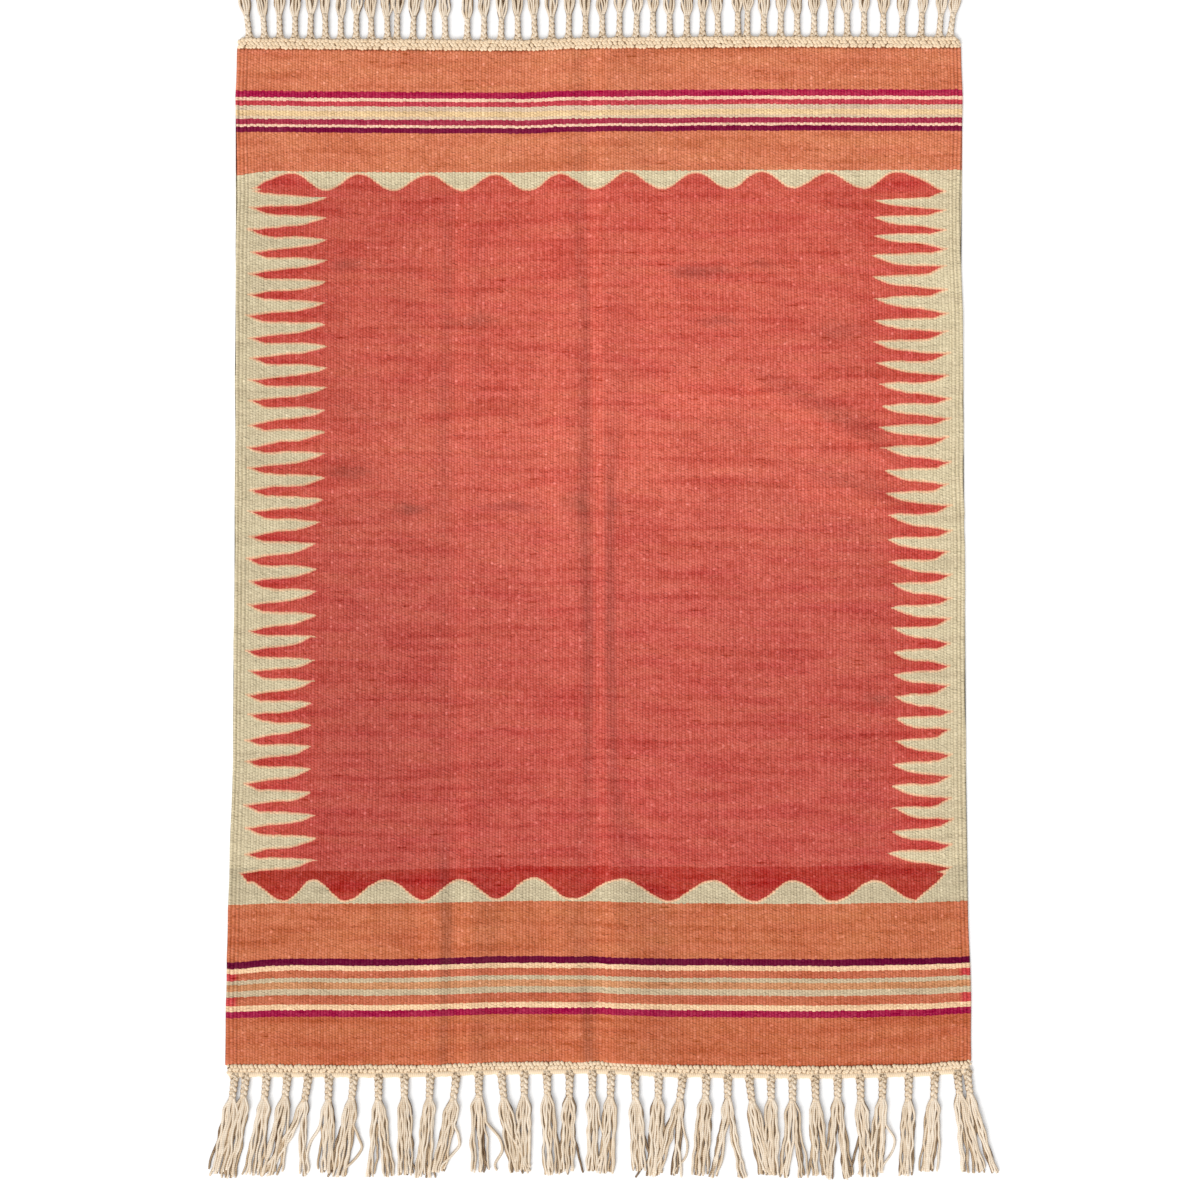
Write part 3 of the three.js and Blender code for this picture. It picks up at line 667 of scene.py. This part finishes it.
# The wefts pass over one warp and under the next, so their bumps sit half a weft apart on neighbouring ribs.
# Here and there one stands out as a lump, where thick yarn or a join was beaten in.
lump_place = node(wool, "VectorMath DIVIDE", loom_mm, (*LUMP_SIZE, 1.0))
lumps = node(wool, "TexNoise", lump_place, None, 1.0, 1.0, noise_dimensions="2D")
lumps = node(wool, "MapRange", lumps, LUMP_FROM, LUMP_TO, 0.0, LUMP_RISE)
weft_height = node(wool, "MULTIPLY_ADD", weft, -WEFT_RISE, lumps)
weft_height = node(wool, "MULTIPLY_ADD", bead_luck, BEAD_RISE, weft_height)
weft_height = node(wool, "MULTIPLY_ADD", layers["grain"], GRAIN_RISE, weft_height)
weft_bump = {"Strength": 1.0, "Distance": MM, "Height": weft_height}
node(wool, "Bump", into=weft_bump, onto="Normal")
web_mesh.materials.append(wool)
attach(web, "root")
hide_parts("kilim_web")


# The plaits close the two ends: the warps, in pairs, are knotted over one another along the last weft. They
# leave close rows of flat stitches with small pits between them and, at the near end, a firm band outside.
PLAIT_STITCH = 4.9
PLAIT_GAP = 0.3
PLAIT_END_LENGTH, PLAIT_END_SHARE = 9.0, 0.3  # over which, and to what, a plait rounds off at its ends
STITCH_LEAN = 2.6
STITCH_RADIUS = 2.6
STITCH_FLATNESS = 0.58
LEAN_SPREAD, SIDE_SPREAD, OUT_SPREAD, RADIUS_SPREAD = 0.4, 0.5, 0.4, 0.09  # how much stitches differ
CORD_STEP = 3.1
FRINGES = {
    "near": {
        "end": -1, "edge": NEAR_EDGE, "node": "fringe_near", "plait_width": 16, "plait_height": 4.4,
        # where each row of stitches starts and ends, in shares of the width from the cloth out, and its lean
        "stitch_rows": [(0.04, 0.32, 1), (0.28, 0.58, -1)], "stitch_shades": (0.0, 0.2),
        # the yarns laid along the plait, the inner warps and the band: place, radius, flatness and shade;
        # the inner warps' dark shade is painted shade in the pits between stitches
        "laid_yarns": [(0.18, 1.9, 1.0, 0.9), (0.44, 1.9, 1.0, 0.9), (0.77, 3.6, 0.56, 0.08)],
    },
    "far": {
        "end": 1, "edge": FAR_EDGE, "node": "fringe_far", "plait_width": 14, "plait_height": 5.6,
        "stitch_rows": [(0.04, 0.36, 1), (0.32, 0.66, -1), (0.62, 0.95, 1)], "stitch_shades": (0.06, 0.28),
        # the inner warps' dark shade is painted shade in the pits between stitches
        "laid_yarns": [(0.2, 2.3, 1.0, 0.9), (0.5, 2.3, 1.0, 0.9), (0.8, 2.3, 1.0, 0.6)],
    },
}


def sweep(paths, radii, sides, shades, flatness=1.0):
    """Tubes along many paths of equally many points: points, wall and end faces, ply map and shades.

    There is one shade for each path, or one for each of its points.
    """
    heading = np.gradient(paths, axis=1)
    heading /= np.linalg.norm(heading, axis=2, keepdims=True)
    sideways = np.cross(heading, (0.0, 0.0, 1.0))
    sideways /= np.linalg.norm(sideways, axis=2, keepdims=True)
    upward = flatness * np.cross(sideways, heading)
    turn = np.arange(sides) * 2 * np.pi / sides
    ring = np.cos(turn)[:, None] * sideways[:, :, None] + np.sin(turn)[:, None] * upward[:, :, None]
    points = paths[:, :, None] + radii[:, :, None, None] * ring
    number = np.arange(points[..., 0].size).reshape(points.shape[:3])
    here, there = number[:, :-1], number[:, 1:]
    walls = np.stack([here, there, np.roll(there, -1, 2), np.roll(here, -1, 2)], -1).reshape(-1, 4)
    ends = np.concatenate([number[:, 0], number[:, -1, ::-1]])
    run = np.cumsum(np.linalg.norm(np.diff(paths, axis=1, prepend=paths[:, :1]), axis=2), axis=1)
    around = np.arange(sides + 1) / sides
    near, far = run[:, :-1, None] + 0 * around[:-1], run[:, 1:, None] + 0 * around[:-1]
    left, right = around[:-1] + 0 * near, around[1:] + 0 * near
    ply = np.stack([left, near, left, far, right, far, right, near], -1).reshape(-1, 2)
    shade = np.repeat(np.broadcast_to(np.reshape(shades, (len(paths), -1)), paths.shape[:2]), sides)
    return points.reshape(-1, 3), walls, ends, ply, shade


def yarn_piece(name, parts, material):
    """One object from several sweeps, in metres, with its ply map and a shade for each tube."""
    points, walls, ends, plies, shades = zip(*parts)
    firsts = np.cumsum([0, *map(len, points)])
    faces = []
    for group in (walls, ends):
        for part, first_point in zip(group, firsts):
            faces += (part + first_point).tolist()
    mesh = bpy.data.meshes.new(name)
    mesh.from_pydata(np.concatenate(points) * MM, [], faces)
    mesh.shade_smooth()
    end_ply = np.zeros((len(mesh.loops) - sum(map(len, plies)), 2))
    ply_map = mesh.uv_layers.new(name="ply")
    ply_map.uv.foreach_set("vector", np.concatenate([*plies, end_ply]).astype(np.float32).ravel())
    number_points(mesh, "shade", np.concatenate(shades))
    mesh.materials.append(material)
    return new_object(name, mesh)


# Undyed handspun wool, two plies twisted together: matt and hairy, with painted light on the crowns, painted
# shade on the flanks and brown painted shade between the yarns.
PLY_TWIST = 5.0  # mm for one turn of the two plies
STAIN_SIZE, HAIR_SIZE = 9.0, 1.2


def undyed_wool(name, crown_code, flank_shade_code, gap_shade_code, flank_shade):
    """Handspun wool of one colour on the crowns, another as painted shade on the flanks and a third as
    painted shade in the gaps.
    """
    yarn = new_material(name, {"Roughness": 0.9, "Specular IOR Level": 0.1, "Sheen Weight": 0.05})
    ply = node(yarn, "UVMap", uv_map="ply")
    ply_parts = node(yarn, "SeparateXYZ", ply)
    around, along_yarn = ply_parts.outputs["X"], ply_parts.outputs["Y"]
    ply_turn = node(yarn, "MULTIPLY_ADD", along_yarn, 1 / PLY_TWIST, around)
    ply_turn = node(yarn, "MULTIPLY", ply_turn, 4 * math.pi)
    ply_wave = node(yarn, "SINE", ply_turn)
    yarn_places = node(yarn, "TexCoord")
    yarn_noise = node(yarn, "TexNoise", yarn_places.outputs["Object"], None, 1 / (STAIN_SIZE * MM), 3.0)
    yarn_shade = node(yarn, "Attribute", attribute_name="shade")
    stain_and_shade = node(yarn, "MULTIPLY_ADD", yarn_noise, 0.5, yarn_shade.outputs["Fac"])
    stain_and_shade = node(yarn, "MULTIPLY_ADD", ply_wave, 0.08, stain_and_shade)
    # Painted shade on the flanks and underside of each yarn, none on its top.
    crown = node(yarn, "MULTIPLY", around, 2 * math.pi)
    crown = node(yarn, "SINE", crown)
    painted_flank_shade = node(yarn, "MapRange", crown, 0.0, 0.8, flank_shade, 0.0)
    stain_and_shade = node(yarn, "ADD", stain_and_shade, painted_flank_shade)
    stain_and_shade = node(yarn, "SUBTRACT", stain_and_shade, 0.25)
    yarn_stops = [(0, crown_code), (0.5, flank_shade_code), (1, gap_shade_code)]
    node(yarn, "ValToRGB", stain_and_shade, stops=yarn_stops, onto="Base Color")
    yarn_hair = node(yarn, "TexNoise", yarn_places.outputs["Object"], None, 1 / (HAIR_SIZE * MM), 2.0)
    yarn_height = node(yarn, "MULTIPLY_ADD", ply_wave, 0.5, yarn_hair)
    yarn_bump = {"Strength": 0.5, "Distance": 0.4 * MM, "Height": yarn_height}
    node(yarn, "Bump", into=yarn_bump, onto="Normal")
    return yarn


knotted_wool = undyed_wool("knotted_undyed_wool", "#f4dcbd", "#dcc09c", "#7c5c40", 0.2)
for side, fringe in FRINGES.items():
    edge, end, width = fringe["edge"], fringe["end"], fringe["plait_width"]
    from_x, to_x = edge[0, 0], edge[-1, 0]
    stitches = round((to_x - from_x) / PLAIT_STITCH)
    stitch_x = from_x + (np.arange(stitches) + 0.5) * (to_x - from_x) / stitches
    parts = []
    share = np.linspace(0, 1, 8)
    bulge = 1 - 0.4 * np.abs(2 * share - 1) ** 3
    for row, (start, stop, slant) in enumerate(fringe["stitch_rows"]):
        lean = slant * STITCH_LEAN * (1 + LEAN_SPREAD * spread(stitches))
        x = stitch_x[:, None] + 0.5 * (row % 2) * PLAIT_STITCH + lean[:, None] * (share - 0.5)
        x += SIDE_SPREAD * spread(stitches, 1)
        x = np.clip(x, from_x + 1.5 + 0.1 * share, to_x - 1.6 + 0.1 * share)
        to_end = np.minimum(x - from_x, to_x - x)
        rounding = np.sqrt(np.clip(PLAIT_END_SHARE + to_end / PLAIT_END_LENGTH, 0, 1))
        out = width * rounding * (start + (stop - start) * share)
        out += OUT_SPREAD * spread(stitches, 1)
        y = np.interp(x, *edge.T) + end * (PLAIT_GAP + out)
        top = fringe["plait_height"] * rounding * (0.93 + 0.07 * np.sin(np.pi * share))
        radius = 1 + RADIUS_SPREAD * spread(stitches, 1)
        radius = STITCH_RADIUS * radius * rounding * bulge
        z = top - STITCH_FLATNESS * radius
        shades = chance.uniform(*fringe["stitch_shades"], stitches)
        parts.append(sweep(np.stack([x, y, z], -1), radius, 8, shades, STITCH_FLATNESS))
    cord_x = np.linspace(from_x + 2, to_x - 2, round((to_x - from_x) / CORD_STEP))
    to_end = np.minimum(cord_x - from_x, to_x - cord_x)
    rounding = np.sqrt(np.clip(PLAIT_END_SHARE + to_end / PLAIT_END_LENGTH, 0, 1))
    for place, radius, flatness, shade in fringe["laid_yarns"]:
        thickness = radius * rounding * (1 + 0.05 * spread(len(cord_x)))
        y = np.interp(cord_x, *edge.T) + end * (PLAIT_GAP + width * place * rounding)
        y += 0.2 * spread(len(cord_x))
        path = np.stack([cord_x, y, flatness * thickness + 0.05], -1)
        parts.append(sweep(path[None], thickness[None], 10, [shade], flatness))
    plait = yarn_piece(side + "_plait", parts, knotted_wool)
    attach(plait, "root")
    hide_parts(fringe["node"])


# The tassels are the warp ends beyond each plait: a dozen yarns drawn together, braided in three for a
# finger's width as a neck, then left loose. They lie as they fell: crossed, forked, bowed and astray.
FRINGE_REACH = 125.0
NECK_CENTRE = 3.2
NECK_STRAND = 2.35
FILLET_REACH, FILLET_LENGTH = 6.4, 8.0  # the outer warps that a neck draws in from its plait
FILLET_RADIUS, FILLET_HEIGHT, FILLET_SHADE = 1.2, 2.2, 0.2
NECK_TURNS = 1.6
NECK_ROOT = 4.0  # how far a neck runs back into its plait
LEAN_BEND = 1.3
HEAD_LENGTH, HEAD_ROOT = 17.0, 4.0  # over which a tassel opens, and how far back into its neck it starts
NECK_STEPS, FILLET_STEPS, YARN_STEPS = 20, 9, 26
YARN_WAVES = [(0.9, 42), (0.4, 19)]  # a yarn's slow and quick bends, in mm: how far, how long
ASTRAY_SHARE, ASTRAY_SPREAD, MOST_ASTRAY = 0.1, 16, 20
TOP_LIE, UNDER_LIE, FLOOR_LIE, HEAD_LIE, LEAST_LIE = 3.7, 1.5, 1.35, 3.6, 1.3  # how high yarns lie
FRINGES["near"] |= {
    "roots": [(0, -448), (1, -434.5), (5, -332), (7, -271), (10, -175.5), (16, -8), (17, 15), (21, 132),
              (25, 238), (29, 349), (31, 413), (32, 441), (33, 453)],
    "leans": [-22, -23, -18, -23, -31, -5, -20, 0, 1, -10, -25, 0, 20, 0, 6, -4, 0, -6, 5, -4, -26, -7, 0,
              22, 2, 0, 7, 0, 6, -7, -4, -9, 20, 24],
    "forks": {4: 40, 7: 12, 20: 12, 22: 30, 25: 16, 27: 14, 32: 14, 33: 14},
    "bows": {6: 15, 10: 13, 11: 15, 20: 11, 29: 13, 5: -9, 16: 8},
    "neck_length": 27.5, "neck_width": 10.4, "top_yarns": 7, "under_yarns": 6, "half_width": 7.3,
    "yarn_radius": 1.58,
}
FRINGES["far"] |= {
    "roots": [(0, -430), (8, -280), (9, -260), (10, -248.5), (13, -189), (14, -162), (27, 108), (29, 146.5),
              (30, 171), (31, 182), (38, 326), (41, 396), (42, 418.5), (43, 432)],
    "leans": [-22, -12, -4, 2, 5, -3, 0, 4, -2, -5, 3, 6, 0, -4, 2, 0, 5, -3, -6, 0, 4, 1, -2, 3, 6, -1, -4,
              0, 2, -5, -3, 4, 0, 3, -2, 1, 5, -4, 0, 2, 4, 8, 13, 24],
    "forks": {3: 10, 12: 16, 26: 14, 35: 12},
    "bows": {6: 8, 17: -7, 23: 9, 33: 8},
    "neck_length": 28, "neck_width": 8.4, "top_yarns": 5, "under_yarns": 4, "half_width": 5.6,
    "yarn_radius": 1.35,
}


def uneven(place, kind):
    """A repeatable unevenness between -1 and 1 for each place and kind, the same that sets the solids."""
    return 0.6 * math.sin(2.4 * place + 1.7 * kind) + 0.4 * math.sin(5.3 * place + 3.1 * kind)


loose_wool = undyed_wool("loose_undyed_wool", "#f3e4d0", "#d0b695", "#5c4028", 0.55)
for side, fringe in FRINGES.items():
    edge, end = fringe["edge"], fringe["end"]
    neck_paths, neck_radii, neck_shades, fillet_paths = [], [], [], []
    yarn_paths, yarn_radii, yarn_shades = [], [], []
    for index, lean in enumerate(fringe["leans"]):
        root_x = np.interp(index, *np.transpose(fringe["roots"]))
        root_y = np.interp(root_x, *edge.T) + end * (PLAIT_GAP + fringe["plait_width"])
        neck_end = fringe["neck_length"] * (1 + 0.12 * uneven(index, 2))
        reach = FRINGE_REACH * (1 - 0.03 * (1 - uneven(index, 3)))

        def lay(out, sideways, height):
            """Points of this tassel: that far out from the plait, to one side of its middle line and up."""
            x = root_x + lean * (np.maximum(out, 0) / FRINGE_REACH) ** LEAN_BEND + sideways
            return np.stack([x, root_y + end * out, height], -1)

        out = np.linspace(-NECK_ROOT, neck_end, NECK_STEPS)
        share = np.linspace(0, 1, NECK_STEPS)
        turns = 2 * np.pi * (NECK_TURNS * share + chance.uniform())
        flare = np.exp(-((share / 0.22) ** 2))
        root = np.exp(-((np.maximum(out, 0) / 7) ** 2))  # where it passes beneath the plait's edge
        swing = (fringe["neck_width"] / 2 - NECK_STRAND) * (1 + 0.25 * flare - 0.3 * share**4)
        for strand in range(3):
            phase = turns + strand * 2 * np.pi / 3
            height = NECK_CENTRE - 1.2 * root + (1 - 0.8 * root) * np.sin(2 * phase)
            neck_paths.append(lay(out, swing * np.sin(phase), np.maximum(height, NECK_STRAND + 0.1)))
            neck_radii.append(NECK_STRAND * (fringe["neck_width"] / 10) ** 0.5 * np.ones(NECK_STEPS))
            # Painted shade on each strand where it passes beneath the others.
            beneath = np.clip(0.2 - np.sin(2 * phase), 0, 1)
            neck_shades.append(chance.uniform(0.1, 0.3) + 0.6 * beneath)
        share = np.linspace(0, 1, FILLET_STEPS)
        for hand_side in (-1, 1):
            beside = 0.34 * fringe["neck_width"]
            drawn_in = beside + (FILLET_REACH - beside) * (1 - share) ** 2.2
            out = -1.5 + FILLET_LENGTH * share
            fillet_paths.append(lay(out, hand_side * drawn_in, FILLET_HEIGHT + 0 * share))

        top, under = fringe["top_yarns"], fringe["under_yarns"]
        ranks = np.concatenate([np.linspace(-0.95, 0.95, top), np.linspace(-0.9, 0.9, under)])
        yarns = top + under
        ranks += chance.normal(0, 0.07, yarns)
        last_ranks = ranks + chance.normal(0, 0.3, yarns)
        astray = chance.uniform(size=yarns) < ASTRAY_SHARE
        astray = astray * chance.normal(0, ASTRAY_SPREAD, yarns).clip(-MOST_ASTRAY, MOST_ASTRAY)
        tips = reach * (1 - 0.05 * chance.uniform(0, 1, yarns) ** 2)
        fork = fringe["forks"].get(index, 0)
        bow = fringe["bows"].get(index, 0)
        share = np.linspace(0, 1, YARN_STEPS)
        smooth = share * share * (3 - 2 * share)
        for yarn in range(yarns):
            on_top = yarn < top
            out = neck_end - HEAD_ROOT + (tips[yarn] - neck_end + HEAD_ROOT) * share
            opening = np.clip((out - neck_end + HEAD_ROOT) / HEAD_LENGTH, 0, 1)
            opening = 0.28 + 0.72 * opening * opening * (3 - 2 * opening)
            sideways = (ranks[yarn] + (last_ranks[yarn] - ranks[yarn]) * smooth) * fringe["half_width"]
            for size, length in YARN_WAVES:
                wave_length = length * chance.uniform(0.75, 1.35)
                turn = 2 * np.pi * (out / wave_length + chance.uniform())
                sideways = sideways + size * chance.uniform(0.5, 1.3) * np.sin(turn)
            sideways = sideways * opening * (1 + 0.12 * share)
            loose = np.clip((share - 0.25) / 0.75, 0, 1)
            sideways = sideways + 0.5 * fork * np.sign(ranks[yarn]) * loose**1.2 + astray[yarn] * loose**1.4
            if bow and yarn == (top - 1 if bow > 0 else 0):
                sideways = sideways + bow * np.sin(np.pi * np.clip((share - 0.35) / 0.6, 0, 1)) ** 1.3
            lie = TOP_LIE if on_top else UNDER_LIE
            lie = lie + chance.uniform(-0.3, 0.5) + 0.35 * np.sin(2 * np.pi * (share * 2 + chance.uniform()))
            away = np.clip(np.abs(sideways) / fringe["half_width"] - 1.1, 0, 1)
            lie = lie + (FLOOR_LIE - lie) * np.maximum(away, 0.5 * smooth)
            height = HEAD_LIE + (lie - HEAD_LIE) * np.clip(share / 0.2, 0, 1)
            yarn_paths.append(lay(out, sideways, np.maximum(height, LEAST_LIE)))
            yarn_radii.append(fringe["yarn_radius"] * (1 - 0.25 * share**8) * chance.uniform(0.85, 1.15))
            # The under layer's yarns get a dark shade: painted shade beneath the top layer.
            yarn_shades.append(chance.uniform(0.0, 0.3) if on_top else chance.uniform(0.5, 0.9))
    fillet_radii = np.full((len(fillet_paths), FILLET_STEPS), FILLET_RADIUS)
    fillet_shades = np.full(len(fillet_paths), FILLET_SHADE)
    parts = [
        sweep(np.array(neck_paths), np.array(neck_radii), 7, neck_shades),
        sweep(np.array(fillet_paths), fillet_radii, 6, fillet_shades),
        sweep(np.array(yarn_paths), np.array(yarn_radii), 6, yarn_shades),
    ]
    piece = yarn_piece(side + "_tassels", parts, loose_wool)
    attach(piece, "root")
    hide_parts(fringe["node"])
